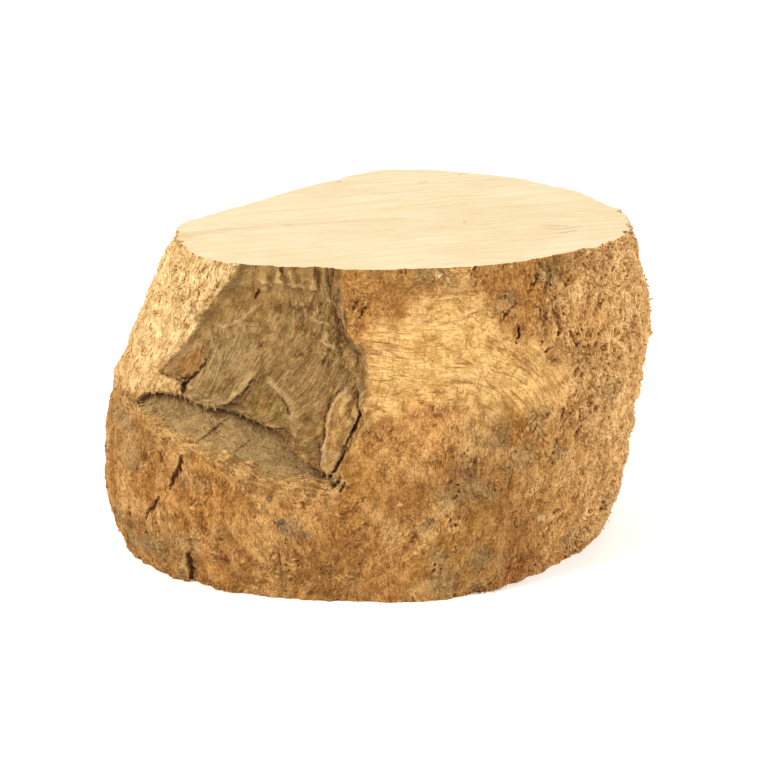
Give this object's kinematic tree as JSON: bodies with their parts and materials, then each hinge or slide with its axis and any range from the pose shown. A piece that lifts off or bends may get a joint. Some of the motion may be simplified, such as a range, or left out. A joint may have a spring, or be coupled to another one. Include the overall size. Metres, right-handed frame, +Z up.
{
  "type": "briar burl slice",
  "caption": "Lump of briar root burl sawn flat above and below, with a knobbly weathered flank, an old split face and a torn notch.",
  "frame": {"origin": "middle of the sawn base", "axes": "+Z up, square to both saw cuts; +X along the longest side, to the right when seen from the notch; the notch and the split face look along -Y"},
  "size_m": [0.2514, 0.2045, 0.145],
  "materials": {
    "wood": "raw weathered root wood, matt, with pale sawn ends"
  },
  "bodies": {
    "root": {"burl": "wood"}
  },
  "joints": []
}
